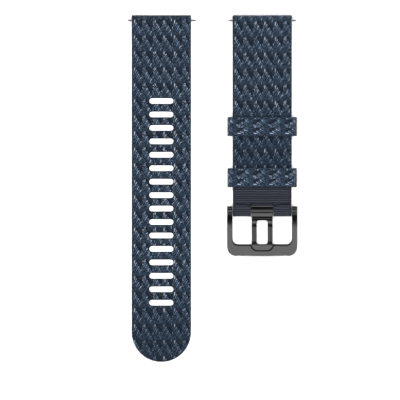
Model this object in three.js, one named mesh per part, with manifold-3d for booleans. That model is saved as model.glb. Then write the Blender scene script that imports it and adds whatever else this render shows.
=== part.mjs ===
// Two-piece woven watch band for 22 mm lugs, both halves lying face up side by side.
// Millimetres, +Z up, +Y towards the lug ends, +X to the right. The origin is the middle of
// the footprint, on the surface that the band lies on.

import * as THREE from 'three';
import { mergeVertices } from 'three/addons/utils/BufferGeometryUtils.js';
import Module from 'manifold-3d';

const wasm = await Module();
wasm.setup();

// ---- Straps ----
const strapWidth = 22;
const strapSpacing = 37.5; // between the centre lines of the two halves
const longLength = 129;
const webbingThickness = 1.2;
const liningThickness = 0.6;
const layerGap = 0.15; // bond line between two layers of cloth
const buttGap = 0.3; // between the ends of two pieces that meet

// ---- Folded loop at each lug end ----
const loopClearance = 0.1; // radial, between a lug bar and the webbing round it
const rampLength = 10; // over which the fold settles down to the flat strap
const tailLength = 7; // of the end turned back under the face, skived thin
const tailLift = [2.5, 4]; // where the tail climbs from the table onto the lining

// ---- Adjustment slots ----
const slotCount = 16;
const slotPitch = 5;
const slotEndClearance = 0.5; // beside the tongue, at each end of a slot
const slotTongueClearance = 1; // over the tongue's thickness, in a slot's width
const slotFromTip = 22; // last slot's centre to the round tip

// ---- Keepers ----
const keeperThickness = 1.2;
const keeperLength = 7; // along the strap
const keeperSideClearance = 0.75;
const keeperHeadroom = 0.4; // above the two straps that share a keeper
const keeperCornerRadius = 2;
const freeKeeperFromEnd = 38;
const fixedKeeperFromEnd = 57;

// ---- Ribbon of the short half ----
const ribbonInset = 0.1; // from each edge of the webbing
const ribbonThickness = 0.6;
const ribbonSlack = 0.5; // radial, between the buckle bar and the ribbon round it
const ribbonRamp = 7; // over which its returning end settles
const tongueCutClearance = 0.4;
const tongueCutDepth = 0.95; // behind the tongue's barrel, in the upper run
const underCutClearance = 0.3; // behind the barrel where it dips into the lower run
const tongueCutCorner = 1.2;

// ---- Lug bars, buckle bar ----
const lugTubeRadius = 0.75;
const lugBoreRadius = 0.55;
const buckleTubeRadius = 0.9;
const buckleBoreRadius = 0.62;
const pivotRadius = 0.35;
const runningGap = 0.05; // radial, between a tip and the tube that it slides in
const tubeEndInset = 0.3; // the tube's ends stay inside the strap's edges
const tubeLip = 0.5; // length of the narrowed end that keeps a tip in
const tipReach = 1.65; // of a lug tip past the strap's edge
const tipTravel = 1.5;
const longBarShift = 0.25; // the long half's bar lies a little to the right
const stemLength = 4;
const springWireRadius = 0.09;
const springTurns = 9;

// ---- Release levers ----
const leverRadius = 0.35;
const leverReach = 2.5; // from the bar's axis
const leverInset = 3.4; // from the strap's left edge
const leverSlotClearance = 0.1;
const leverNotchClearance = 0.35;

// ---- Buckle ----
const bucklePinFromEnd = 72.95;
const armWidth = 2;
const armClearance = 0.15; // between an arm and the ribbon's edge
const barrelWall = 1; // of the tongue's barrel; the arms' knuckles are as big
const frameThickness = 2.2;
const frameRise = 2.4; // top of the front bar above the pin's axis
const frameRampEnd = 7.85; // from the pin's axis, where the arms become level
const armTopDrop = 1.55; // of the arms' top at the pin, below the front bar's
const armUnderDrop = 1.5;
const frameNose = 0.6; // bevel along the front
const frontInner = 12.31; // from the pin's axis to the front bar's inner edge
const frontBarWidth = 4.42;
const frontBow = 0.35; // of the outer edge
const outerCorner = [4.2, 5.2]; // across and along
const innerCorner = [3, 1.9];
const pinHoleClearance = 0.1;
const pinHoleDepth = 1.3;
const buckleTipReach = 1.1; // into each arm

const tongueWidth = 8;
const tongueOverlap = 2.24; // onto the front bar
const tongueTipThickness = 1.1;
const tongueTipCorner = [2.4, 2.2]; // across and along
const tongueBoreClearance = 0.1;
const recessClearance = 0.25;
const recessFloorGap = 0.15;
const windowWidth = 4.07;
const windowFromBarrel = 1.4;
const windowFromTip = 2.31;
const windowCorner = 0.8;

// ---- Derived sizes ----
const lugLoopInner = lugTubeRadius + loopClearance;
const lugLoopOuter = lugLoopInner + webbingThickness;
const liningTop = liningThickness + layerGap;
const strapThickness = liningTop + webbingThickness;
const keeperHalfWidth = strapWidth / 2 + keeperSideClearance + keeperThickness;
const shortStrapZ = keeperThickness + layerGap;
const keeperInnerTop = shortStrapZ + 2 * strapThickness + keeperHeadroom;
const webbingEnd = fixedKeeperFromEnd + keeperLength / 2; // middle of the fixed keeper
const ribbonWidth = strapWidth - 2 * ribbonInset;
const ribbonLoopRadius = buckleTubeRadius + ribbonSlack + ribbonThickness;
const knuckleRadius = buckleTubeRadius + tongueBoreClearance + barrelWall;
const armInner = ribbonWidth / 2 + armClearance;
const frameWidth = 2 * (armInner + armWidth);
const frontOuter = frontInner + frontBarWidth;
const tongueLength = frontInner + tongueOverlap;
const slotLength = tongueWidth + 2 * slotEndClearance;
const slotWidth = tongueTipThickness + slotTongueClearance;
const longReach = strapWidth / 2 + tipReach - longBarShift;
const longX = -(strapSpacing + frameWidth / 2 - longReach) / 2;
const shortX = longX + strapSpacing;
const topY = longLength / 2;

// ---- How finely curves are drawn ----
const roundSteps = 16; // round a turned part
const tipSteps = 28;
const slotEndSteps = 8;
const springSteps = 8; // along each turn

// ---- Materials ----
function makeMaterial(colour, roughness, metalness) {
  return new THREE.MeshStandardMaterial({ color: colour, roughness, metalness });
}

const webbingMaterial = makeMaterial(0x3b4654, 0.9, 0);
const ribbonMaterial = makeMaterial(0x363942, 0.85, 0);
const gunmetalMaterial = makeMaterial(0x5c5c5e, 0.38, 1);
const steelMaterial = makeMaterial(0xb4b6b8, 0.3, 1);

// ---- Solids and meshes ----
function toSolid(geometry) {
  const bare = geometry.clone();
  bare.deleteAttribute('normal');
  bare.deleteAttribute('uv');
  const merged = mergeVertices(bare, 1e-5);
  const mesh = new wasm.Mesh({
    numProp: 3,
    vertProperties: new Float32Array(merged.attributes.position.array),
    triVerts: new Uint32Array(merged.index.array),
  });
  return new wasm.Manifold(mesh);
}

function toGeometry(solid) {
  const mesh = solid.getMesh();
  const geometry = new THREE.BufferGeometry();
  geometry.setAttribute('position', new THREE.BufferAttribute(mesh.vertProperties, 3));
  geometry.setIndex(new THREE.BufferAttribute(mesh.triVerts, 1));
  geometry.computeVertexNormals();
  return geometry;
}

function makePiece(name, shape, material) {
  const geometry = shape.isBufferGeometry ? shape : toGeometry(shape);
  const mesh = new THREE.Mesh(geometry, material);
  mesh.name = name;
  return mesh;
}

// A shape drawn in X and Y, from z = low to z = high.
function extrudeUp(shape, low, high, curveSegments = 8) {
  const depth = high - low;
  const geometry = new THREE.ExtrudeGeometry(shape, { depth, bevelEnabled: false, curveSegments });
  return geometry.translate(0, 0, low);
}

// A side outline drawn in Y and Z, centred across X.
function extrudeAcross(points, width) {
  const shape = new THREE.Shape(points);
  const geometry = new THREE.ExtrudeGeometry(shape, { depth: width, bevelEnabled: false });
  const turn = new THREE.Matrix4().makeBasis(
    new THREE.Vector3(0, 1, 0),
    new THREE.Vector3(0, 0, 1),
    new THREE.Vector3(1, 0, 0),
  );
  return geometry.applyMatrix4(turn).translate(-width / 2, 0, 0);
}

// A turned part: pairs of position along +X and radius, closed by its own first point.
function turnAlongX(stations, segments = roundSteps) {
  const profile = stations.map(([along, radius]) => new THREE.Vector2(radius, along));
  return new THREE.LatheGeometry(profile, segments).rotateZ(-Math.PI / 2);
}

function rodAlongX(radius, from, to, segments = roundSteps) {
  return turnAlongX([[from, 0], [from, radius], [to, radius], [to, 0]], segments);
}

function boxAt(low, high) {
  const size = high.map((value, axis) => value - low[axis]);
  const middle = high.map((value, axis) => (value + low[axis]) / 2);
  return new THREE.BoxGeometry(...size).translate(...middle);
}

// Points of an arc round a centre, angles in degrees from the first axis to the second.
function arc(first, second, radius, from, to, steps) {
  const points = [];
  for (let step = 0; step <= steps; step += 1) {
    const angle = THREE.MathUtils.degToRad(from + (to - from) * step / steps);
    points.push(new THREE.Vector2(first + radius * Math.cos(angle), second + radius * Math.sin(angle)));
  }
  return points;
}

// Values from one distance to another, for a surface given as a function of that distance.
function surface(from, to, steps, place, height) {
  const points = [];
  for (let step = 0; step <= steps; step += 1) {
    const distance = from + (to - from) * step / steps;
    points.push(new THREE.Vector2(place(distance), height(distance)));
  }
  return points;
}

// Falls smoothly from 1 at 0 to 0 at 1 and stays there.
function settle(share) {
  return share >= 1 ? 0 : (1 + Math.cos(Math.PI * Math.max(share, 0))) / 2;
}

// ---- Straps ----
// Side outline of webbing folded round a lug bar: face, fold and skived tail.
function webbingOutline(length) {
  const place = (distance) => -lugLoopOuter - distance;
  const faceTop = (distance) =>
    strapThickness + (2 * lugLoopOuter - strapThickness) * settle(distance / rampLength);
  const faceBottom = (distance) => faceTop(distance) - webbingThickness;
  const [liftStart, liftEnd] = tailLift;
  const tailBottom = (distance) =>
    liningTop * (1 - settle((distance - liftStart) / (liftEnd - liftStart)));
  const tailTop = (distance) => {
    const hollow = settle(distance / liftEnd);
    const closed = faceBottom(Math.max(distance, liftEnd)) - layerGap;
    return webbingThickness * hollow + closed * (1 - hollow);
  };
  const flat = length - lugLoopOuter;
  return [
    new THREE.Vector2(-length, strapThickness),
    ...surface(rampLength, 0.8, 9, place, faceTop),
    ...arc(-lugLoopOuter, lugLoopOuter, lugLoopOuter, 90, -90, 12),
    ...surface(liftStart, liftEnd, 3, place, tailBottom),
    new THREE.Vector2(place(tailLength), liningTop),
    ...surface(tailLength, 1, 6, place, tailTop),
    ...arc(-lugLoopOuter, lugLoopOuter, lugLoopInner, -90, 90, 10),
    ...surface(0.8, rampLength, 9, place, faceBottom),
    new THREE.Vector2(place(flat), liningTop),
  ];
}

function slotCentres() {
  const centres = [];
  for (let slot = 0; slot < slotCount; slot += 1) {
    centres.push(-longLength + slotFromTip + slot * slotPitch);
  }
  return centres;
}

// Plan outline of the long half: square lug end, round tip, a row of stadium slots.
function longPlan(lugEnd) {
  const half = strapWidth / 2;
  const shape = new THREE.Shape([
    new THREE.Vector2(-half, lugEnd),
    ...arc(0, -longLength + half, half, 180, 360, tipSteps),
    new THREE.Vector2(half, lugEnd),
  ]);
  const endRadius = slotWidth / 2;
  const reach = slotLength / 2 - endRadius;
  for (const y of slotCentres()) {
    shape.holes.push(new THREE.Path([
      ...arc(reach, y, endRadius, -90, 90, slotEndSteps),
      ...arc(-reach, y, endRadius, 90, 270, slotEndSteps),
    ]));
  }
  return shape;
}

// Space that a release lever needs in the fold: a window through the lower, outer quarter.
function leverWindow(leverX) {
  const reach = lugLoopOuter + 1;
  const low = leverX - leverRadius - leverNotchClearance;
  const high = leverX + tipTravel + leverRadius + leverNotchClearance;
  const half = leverRadius + leverNotchClearance;
  const tunnel = boxAt([low, -half, -reach], [high, half, 0]);
  return tunnel.rotateX(Math.PI / 4).translate(0, -lugLoopOuter, lugLoopOuter);
}

function makeLongWebbing(leverX) {
  const sheet = toSolid(extrudeAcross(webbingOutline(longLength), strapWidth));
  const plan = toSolid(extrudeUp(longPlan(1), -1, 2 * lugLoopOuter + 1));
  return sheet.intersect(plan).subtract(toSolid(leverWindow(leverX)));
}

function makeShortWebbing(leverX) {
  const sheet = toSolid(extrudeAcross(webbingOutline(webbingEnd - buttGap), strapWidth));
  return sheet.subtract(toSolid(leverWindow(leverX)));
}

function makeLongLining() {
  return extrudeUp(longPlan(-lugLoopOuter - tailLift[1]), 0, liningThickness);
}

// ---- Ribbon: lines the short half, folds round the buckle bar, ends under the fixed keeper ----
function ribbonOutline() {
  const axisY = -bucklePinFromEnd;
  const place = (distance) => axisY + distance;
  const restTop = 2 * ribbonThickness + layerGap;
  const returnTop = (distance) =>
    restTop + (2 * ribbonLoopRadius - restTop) * settle(distance / ribbonRamp);
  const returnBottom = (distance) => returnTop(distance) - ribbonThickness;
  const inner = ribbonLoopRadius - ribbonThickness;
  const lugEnd = -lugLoopOuter - tailLift[1];
  return [
    new THREE.Vector2(lugEnd, 0),
    new THREE.Vector2(lugEnd, ribbonThickness),
    ...arc(axisY, ribbonLoopRadius, inner, 270, 90, 10),
    ...surface(0.7, ribbonRamp, 7, place, returnBottom),
    new THREE.Vector2(-webbingEnd, restTop - ribbonThickness),
    new THREE.Vector2(-webbingEnd, restTop),
    ...surface(ribbonRamp, 0.7, 7, place, returnTop),
    ...arc(axisY, ribbonLoopRadius, ribbonLoopRadius, 90, 270, 12),
  ];
}

// Room for the tongue in one run of the ribbon; depth is from the pin back to the cut's end.
function tongueCut(depth, low, high) {
  const half = tongueWidth / 2 + tongueCutClearance;
  const back = -bucklePinFromEnd + depth;
  const front = -bucklePinFromEnd - ribbonLoopRadius - 1;
  const cut = new THREE.Shape();
  cut.moveTo(-half, front);
  cut.lineTo(half, front);
  cut.lineTo(half, back - tongueCutCorner);
  cut.quadraticCurveTo(half, back, half - tongueCutCorner, back);
  cut.lineTo(-half + tongueCutCorner, back);
  cut.quadraticCurveTo(-half, back, -half, back - tongueCutCorner);
  cut.closePath();
  return toSolid(extrudeUp(cut, low, high, 3));
}

function makeRibbon() {
  const sheet = toSolid(extrudeAcross(ribbonOutline(), ribbonWidth));
  const axisZ = ribbonLoopRadius;
  const dip = Math.sqrt(knuckleRadius ** 2 - (ribbonLoopRadius - ribbonThickness) ** 2);
  const upper = tongueCut(knuckleRadius + tongueCutDepth, axisZ, 2 * axisZ + 1);
  const lower = tongueCut(dip + underCutClearance, -1, axisZ + 0.1);
  return sheet.subtract(upper).subtract(lower);
}

// ---- Keepers ----
function roundedRing(path, half, low, high, radius) {
  path.moveTo(-half + radius, low);
  path.lineTo(half - radius, low);
  path.absarc(half - radius, low + radius, radius, -Math.PI / 2, 0, false);
  path.absarc(half - radius, high - radius, radius, 0, Math.PI / 2, false);
  path.absarc(-half + radius, high - radius, radius, Math.PI / 2, Math.PI, false);
  path.absarc(-half + radius, low + radius, radius, Math.PI, 1.5 * Math.PI, false);
  path.closePath();
  return path;
}

function makeKeeper(fromEnd) {
  const innerHalf = keeperHalfWidth - keeperThickness;
  const top = keeperInnerTop + keeperThickness;
  const innerRadius = keeperCornerRadius - keeperThickness;
  const ring = roundedRing(new THREE.Shape(), keeperHalfWidth, 0, top, keeperCornerRadius);
  const hollow = roundedRing(new THREE.Path(), innerHalf, keeperThickness, keeperInnerTop, innerRadius);
  ring.holes.push(hollow);
  const geometry = extrudeUp(ring, 0, keeperLength, 3);
  return geometry.rotateX(Math.PI / 2).translate(0, -fromEnd, 0);
}

// ---- Spring bars, each drawn round its own axis ----
function makeTube(radius, boreRadius, halfLength, slotRange) {
  const lipRadius = pivotRadius + runningGap;
  const wall = turnAlongX([
    [-halfLength, lipRadius],
    [-halfLength, radius],
    [halfLength, radius],
    [halfLength, lipRadius],
    [halfLength - tubeLip, lipRadius],
    [halfLength - tubeLip, boreRadius],
    [-halfLength + tubeLip, boreRadius],
    [-halfLength + tubeLip, lipRadius],
    [-halfLength, lipRadius],
  ]);
  if (!slotRange) {
    return wall;
  }
  const half = leverRadius + leverSlotClearance;
  const slot = boxAt([slotRange[0] - half, -half, -radius - 1], [slotRange[1] + half, half, 0]);
  return toSolid(wall).subtract(toSolid(slot.rotateX(Math.PI / 4)));
}

// side is -1 for the left tip and 1 for the right one.
function makeTip(side, tubeHalf, boreRadius, end) {
  const stemRadius = boreRadius - runningGap;
  const shoulder = tubeHalf - tubeLip;
  const chamfer = pivotRadius / 3;
  const inner = shoulder - stemLength;
  const stations = [
    [inner, 0],
    [inner, stemRadius],
    [shoulder - runningGap, stemRadius],
    [shoulder - runningGap, pivotRadius],
    [end - chamfer, pivotRadius],
    [end, pivotRadius - chamfer],
    [end, 0],
  ];
  const geometry = turnAlongX(stations);
  return side < 0 ? geometry.rotateZ(Math.PI) : geometry;
}

class Helix extends THREE.Curve {
  constructor(radius, length, turns) {
    super();
    this.radius = radius;
    this.length = length;
    this.turns = turns;
  }

  getPoint(share, target = new THREE.Vector3()) {
    const angle = 2 * Math.PI * this.turns * share;
    const along = this.length * (share - 0.5);
    return target.set(along, this.radius * Math.cos(angle), this.radius * Math.sin(angle));
  }
}

function makeSpring(tubeHalf, boreRadius) {
  const length = 2 * (tubeHalf - tubeLip - stemLength - buttGap);
  const coilRadius = boreRadius - runningGap - springWireRadius;
  const wire = new THREE.Shape().absarc(0, 0, springWireRadius, 0, 2 * Math.PI, false);
  return new THREE.ExtrudeGeometry(wire, {
    steps: springTurns * springSteps,
    curveSegments: 3,
    bevelEnabled: false,
    extrudePath: new Helix(coilRadius, length, springTurns),
  });
}

// A stud on the left tip's stem, leaning down and out through the tube and the fold.
function makeLever(leverX, boreRadius) {
  const foot = boreRadius - runningGap + 0.03;
  const dome = leverRadius / 3;
  const profile = [
    new THREE.Vector2(0, foot),
    new THREE.Vector2(leverRadius, foot),
    new THREE.Vector2(leverRadius, leverReach - dome),
    new THREE.Vector2(leverRadius - dome, leverReach),
    new THREE.Vector2(0, leverReach),
  ];
  const stud = new THREE.LatheGeometry(profile, 12);
  return stud.rotateX(-Math.PI / 4).translate(leverX, 0, 0);
}

function makeLugBar(name, leverX) {
  const tubeHalf = strapWidth / 2 - tubeEndInset;
  const end = strapWidth / 2 + tipReach;
  const slotRange = [leverX, leverX + tipTravel];
  const bar = new THREE.Group();
  bar.add(
    makePiece(`${name}_bar_tube`, makeTube(lugTubeRadius, lugBoreRadius, tubeHalf, slotRange), steelMaterial),
    makePiece(`${name}_bar_spring`, makeSpring(tubeHalf, lugBoreRadius), steelMaterial),
    makePiece(`${name}_bar_lever_tip`, makeTip(-1, tubeHalf, lugBoreRadius, end), steelMaterial),
    makePiece(`${name}_bar_plain_tip`, makeTip(1, tubeHalf, lugBoreRadius, end), steelMaterial),
    makePiece(`${name}_bar_release_lever`, makeLever(leverX, lugBoreRadius), steelMaterial),
  );
  return bar;
}

function makeBuckleBar() {
  const tubeHalf = ribbonWidth / 2 - tubeEndInset;
  const end = armInner + buckleTipReach;
  const tube = makeTube(buckleTubeRadius, buckleBoreRadius, tubeHalf, null);
  const bar = new THREE.Group();
  bar.add(
    makePiece('buckle_bar_tube', tube, steelMaterial),
    makePiece('buckle_bar_spring', makeSpring(tubeHalf, buckleBoreRadius), steelMaterial),
    makePiece('buckle_bar_left_tip', makeTip(-1, tubeHalf, buckleBoreRadius, end), steelMaterial),
    makePiece('buckle_bar_right_tip', makeTip(1, tubeHalf, buckleBoreRadius, end), steelMaterial),
  );
  return bar;
}

// ---- Buckle, drawn round its pin: -Y runs from the pin to the front bar ----
// The U of the frame seen from above; its bends are given as shares of the corners' sizes.
function framePlan() {
  const outer = frameWidth / 2;
  const back = knuckleRadius + 1;
  const edge = -frontOuter + frontBow;
  const [outerAcross, outerAlong] = outerCorner;
  const [innerAcross, innerAlong] = innerCorner;
  const shape = new THREE.Shape();
  shape.moveTo(armInner, back);
  shape.lineTo(outer, back);
  shape.lineTo(outer, -frontOuter + outerAlong);
  shape.bezierCurveTo(
    outer, -frontOuter + 0.4 * outerAlong,
    outer - 0.24 * outerAcross, edge + 0.05 * outerAlong,
    outer - outerAcross, edge,
  );
  shape.quadraticCurveTo(outer / 3, -frontOuter, 0, -frontOuter);
  shape.quadraticCurveTo(-outer / 3, -frontOuter, -outer + outerAcross, edge);
  shape.bezierCurveTo(
    -outer + 0.24 * outerAcross, edge + 0.05 * outerAlong,
    -outer, -frontOuter + 0.4 * outerAlong,
    -outer, -frontOuter + outerAlong,
  );
  shape.lineTo(-outer, back);
  shape.lineTo(-armInner, back);
  shape.lineTo(-armInner, -frontInner + innerAlong);
  shape.bezierCurveTo(
    -armInner, -frontInner + 0.37 * innerAlong,
    -armInner + 0.27 * innerAcross, -frontInner + 0.1 * innerAlong,
    -armInner + innerAcross, -frontInner,
  );
  shape.lineTo(armInner - innerAcross, -frontInner);
  shape.bezierCurveTo(
    armInner - 0.27 * innerAcross, -frontInner + 0.1 * innerAlong,
    armInner, -frontInner + 0.37 * innerAlong,
    armInner, -frontInner + innerAlong,
  );
  shape.closePath();
  return shape;
}

// Arms that rise from the knuckles in a shallow arch and run level into the front bar.
function frameOutline() {
  const place = (distance) => -distance;
  const left = (distance) => (frameRampEnd - distance) / frameRampEnd;
  const under = frameRise - frameThickness;
  const top = (distance) => frameRise - armTopDrop * left(distance) ** 2;
  const bottom = (distance) => under - armUnderDrop * left(distance) ** 2;
  return [
    ...surface(0, frameRampEnd, 8, place, top),
    new THREE.Vector2(-frontOuter + frameNose, frameRise),
    new THREE.Vector2(-frontOuter, frameRise - frameNose),
    new THREE.Vector2(-frontOuter, under + frameNose / 2),
    new THREE.Vector2(-frontOuter + frameNose / 2, under),
    ...surface(frameRampEnd, 0, 8, place, bottom),
  ];
}

// Plan of the tongue's round-cornered tip, grown by a clearance; start is the straight part's top.
function tipPlan(start, grow) {
  const half = tongueWidth / 2 + grow;
  const end = -tongueLength - grow;
  const [across, along] = tongueTipCorner;
  const shape = new THREE.Shape();
  shape.moveTo(half, start);
  shape.lineTo(-half, start);
  shape.lineTo(-half, end + along);
  shape.bezierCurveTo(
    -half + 0.1 * across, end + 0.36 * along,
    -half + across / 2, end,
    -half + across, end,
  );
  shape.lineTo(half - across, end);
  shape.bezierCurveTo(
    half - across / 2, end,
    half - 0.1 * across, end + 0.36 * along,
    half, end + along,
  );
  shape.closePath();
  return shape;
}

function makeFrame() {
  const arch = toSolid(extrudeAcross(frameOutline(), frameWidth));
  const knuckles = toSolid(rodAlongX(knuckleRadius, -frameWidth / 2, frameWidth / 2, 24));
  const plan = toSolid(extrudeUp(framePlan(), -knuckleRadius - 1, frameRise + 1, 6));
  const pinHoles = toSolid(rodAlongX(
    pivotRadius + pinHoleClearance,
    -armInner - pinHoleDepth,
    armInner + pinHoleDepth,
    roundSteps,
  ));
  const floor = frameRise - tongueTipThickness - recessFloorGap;
  const recess = toSolid(extrudeUp(tipPlan(-frontInner + 1, recessClearance), floor, frameRise + 1, 5));
  return arch.add(knuckles).intersect(plan).subtract(pinHoles).subtract(recess);
}

// Side outline of the tongue: a band next to the barrel, stepped rails, a raised tip.
// Each station is a distance from the pin's axis and a height above it.
function tongueOutline() {
  const tipUnder = frameRise - tongueTipThickness;
  const edge = 0.2;
  const band = knuckleRadius - 0.1;
  const stations = [
    [0, band],
    [knuckleRadius + 0.27, band],
    [knuckleRadius + 1.57, band - 0.45],
    [knuckleRadius + 2.6, band - 0.45],
    [knuckleRadius + 3.7, band - 0.8],
    [frontInner - 0.85, frameRise - 1],
    [frontInner + 0.59, frameRise],
    [tongueLength - edge, frameRise],
    [tongueLength, frameRise - edge],
    [tongueLength, tipUnder],
    [frontInner - 0.2, tipUnder],
    [frontInner - 1.31, tipUnder - 1.05],
    [knuckleRadius + 3.7, -0.05],
    [knuckleRadius, -0.3],
    [0, -knuckleRadius + 0.8],
  ];
  return stations.map(([distance, height]) => new THREE.Vector2(-distance, height));
}

function makeTongue() {
  const plate = toSolid(extrudeAcross(tongueOutline(), tongueWidth));
  const barrel = toSolid(rodAlongX(knuckleRadius, -tongueWidth / 2, tongueWidth / 2, 24));
  const plan = toSolid(extrudeUp(tipPlan(knuckleRadius + 1, 0), -knuckleRadius - 1, frameRise + 1, 5));
  const bore = toSolid(rodAlongX(buckleTubeRadius + tongueBoreClearance, -tongueWidth, tongueWidth, 20));
  const windowEnd = -tongueLength + windowFromTip;
  const windowStart = -knuckleRadius - windowFromBarrel;
  const gap = roundedRing(new THREE.Shape(), windowWidth / 2, windowEnd, windowStart, windowCorner);
  const opening = toSolid(extrudeUp(gap, -knuckleRadius - 1, frameRise + 1, 3));
  return barrel.add(plate).intersect(plan).subtract(bore).subtract(opening);
}

// ---- The band ----
function makeLongHalf() {
  const leverX = -strapWidth / 2 + leverInset;
  const half = new THREE.Group();
  half.add(
    makePiece('long_strap_webbing', makeLongWebbing(leverX + longBarShift), webbingMaterial),
    makePiece('long_strap_lining', makeLongLining(), ribbonMaterial),
  );
  const bar = makeLugBar('long', leverX);
  bar.position.set(longBarShift, -lugLoopOuter, lugLoopOuter);
  half.add(bar);
  half.position.set(longX, topY, 0);
  return half;
}

function makeShortHalf() {
  const leverX = -strapWidth / 2 + leverInset;
  const strap = new THREE.Group();
  strap.add(
    makePiece('short_strap_webbing', makeShortWebbing(leverX), webbingMaterial),
    makePiece('short_strap_ribbon', makeRibbon(), ribbonMaterial),
  );
  const bar = makeLugBar('short', leverX);
  bar.position.set(0, -lugLoopOuter, lugLoopOuter);
  strap.add(bar);
  const buckle = new THREE.Group();
  buckle.add(
    makePiece('buckle_frame', makeFrame(), gunmetalMaterial),
    makePiece('buckle_tongue', makeTongue(), gunmetalMaterial),
    makeBuckleBar(),
  );
  buckle.position.set(0, -bucklePinFromEnd, ribbonLoopRadius);
  strap.add(buckle);
  strap.position.z = shortStrapZ;
  const half = new THREE.Group();
  half.add(
    strap,
    makePiece('free_keeper', makeKeeper(freeKeeperFromEnd), webbingMaterial),
    makePiece('fixed_keeper', makeKeeper(fixedKeeperFromEnd), webbingMaterial),
  );
  half.position.set(shortX, topY, 0);
  return half;
}

const group = new THREE.Group();
group.add(makeLongHalf(), makeShortHalf());

export default group;
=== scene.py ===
import math
import bmesh
import bpy
import numpy as np
from mathutils import Matrix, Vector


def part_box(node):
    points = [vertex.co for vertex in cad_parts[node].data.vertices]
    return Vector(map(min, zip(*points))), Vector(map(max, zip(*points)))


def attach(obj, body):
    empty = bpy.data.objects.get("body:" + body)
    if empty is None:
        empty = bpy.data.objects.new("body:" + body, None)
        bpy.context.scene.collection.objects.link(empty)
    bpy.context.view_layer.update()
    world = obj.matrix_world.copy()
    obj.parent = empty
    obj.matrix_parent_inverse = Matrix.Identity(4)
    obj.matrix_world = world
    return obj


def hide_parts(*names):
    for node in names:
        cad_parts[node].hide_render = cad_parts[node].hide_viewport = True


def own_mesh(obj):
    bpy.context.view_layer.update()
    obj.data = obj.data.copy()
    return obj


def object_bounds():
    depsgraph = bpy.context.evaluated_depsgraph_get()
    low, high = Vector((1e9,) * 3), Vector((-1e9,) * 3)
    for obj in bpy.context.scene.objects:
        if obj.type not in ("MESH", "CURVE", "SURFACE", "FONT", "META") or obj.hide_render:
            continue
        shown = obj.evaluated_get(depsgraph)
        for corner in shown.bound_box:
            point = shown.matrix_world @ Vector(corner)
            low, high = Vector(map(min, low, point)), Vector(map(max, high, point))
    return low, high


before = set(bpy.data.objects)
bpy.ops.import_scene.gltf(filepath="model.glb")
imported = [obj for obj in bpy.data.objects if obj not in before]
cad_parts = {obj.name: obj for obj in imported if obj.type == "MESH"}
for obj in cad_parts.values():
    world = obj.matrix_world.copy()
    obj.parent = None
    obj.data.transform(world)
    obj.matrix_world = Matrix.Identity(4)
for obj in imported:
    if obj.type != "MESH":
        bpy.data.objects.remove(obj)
cadLow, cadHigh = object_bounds()

# Everything is drawn in millimetres and finished in metres.
mm = 0.001


# Small helpers around the editor.
def deselectAll():
    if bpy.context.object and bpy.context.object.mode != "OBJECT":
        bpy.ops.object.mode_set(mode="OBJECT")
    bpy.ops.object.select_all(action="DESELECT")


def makeActive(obj):
    deselectAll()
    obj.select_set(True)
    bpy.context.view_layer.objects.active = obj


def startEditing(obj, kind="FACE"):
    makeActive(obj)
    bpy.ops.object.mode_set(mode="EDIT")
    bpy.ops.mesh.select_mode(type=kind)
    bpy.ops.mesh.select_all(action="DESELECT")


def editAll(obj, kind="FACE"):
    startEditing(obj, kind)
    bpy.ops.mesh.select_all(action="SELECT")


def stopEditing():
    bpy.ops.object.mode_set(mode="OBJECT")


# Selects the faces, edges or verts that pass a test, in edit mode.
def pick(kind, test):
    bpy.ops.mesh.select_mode(type=kind)
    bpy.ops.mesh.select_all(action="DESELECT")
    mesh = bmesh.from_edit_mesh(bpy.context.object.data)
    parts = {"FACE": mesh.faces, "EDGE": mesh.edges, "VERT": mesh.verts}[kind]
    for part in parts:
        if test(part):
            part.select_set(True)
    mesh.select_flush_mode()
    bmesh.update_edit_mesh(bpy.context.object.data)


def applyModifier(obj, kind, **settings):
    makeActive(obj)
    modifier = obj.modifiers.new(kind.lower(), kind)
    for name, value in settings.items():
        setattr(modifier, name, value)
    bpy.ops.object.modifier_apply(modifier=modifier.name)


def applyPlace(obj):
    makeActive(obj)
    bpy.ops.object.transform_apply(location=True, rotation=True, scale=True)


# Joins or cuts with another object, which is used up.
def combine(obj, other, how):
    applyModifier(obj, "BOOLEAN", object=other, operation=how, solver="EXACT")
    bpy.data.objects.remove(other, do_unlink=True)


def box(low, high):
    middle = [(a + b) / 2 for a, b in zip(low, high)]
    size = [b - a for a, b in zip(low, high)]
    deselectAll()
    bpy.ops.mesh.primitive_cube_add(size=1, location=middle, scale=size)
    obj = bpy.context.object
    applyPlace(obj)
    return obj


def rodAcross(radius, fromX, toX, sides=48):
    deselectAll()
    bpy.ops.mesh.primitive_cylinder_add(
        vertices=sides,
        radius=radius,
        depth=toX - fromX,
        location=((fromX + toX) / 2, 0, 0),
        rotation=(0, math.pi / 2, 0),
    )
    obj = bpy.context.object
    applyPlace(obj)
    return obj


# Rounds the upright edges of a block that pass a test on their x and y.
def roundUprights(obj, test, size, segments, fullness=0.5):
    startEditing(obj, "EDGE")

    def upright(edge):
        a, b = edge.verts
        flat = abs(a.co.x - b.co.x) + abs(a.co.y - b.co.y)
        return flat < 1e-4 and abs(a.co.z - b.co.z) > 0.1 and test(a.co.x, a.co.y)

    pick("EDGE", upright)
    bpy.ops.mesh.bevel(offset=size, segments=segments, profile=fullness, affect="EDGES")
    stopEditing()


# Cuts lines across a block at distances from the pin, to the front unless told otherwise.
def cutRows(obj, distances, way=(0, -1, 0)):
    startEditing(obj)
    for distance in distances:
        bpy.ops.mesh.select_all(action="SELECT")
        bpy.ops.mesh.bisect(plane_co=[float(distance) * w for w in way], plane_no=[abs(w) for w in way])
    stopEditing()


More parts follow.
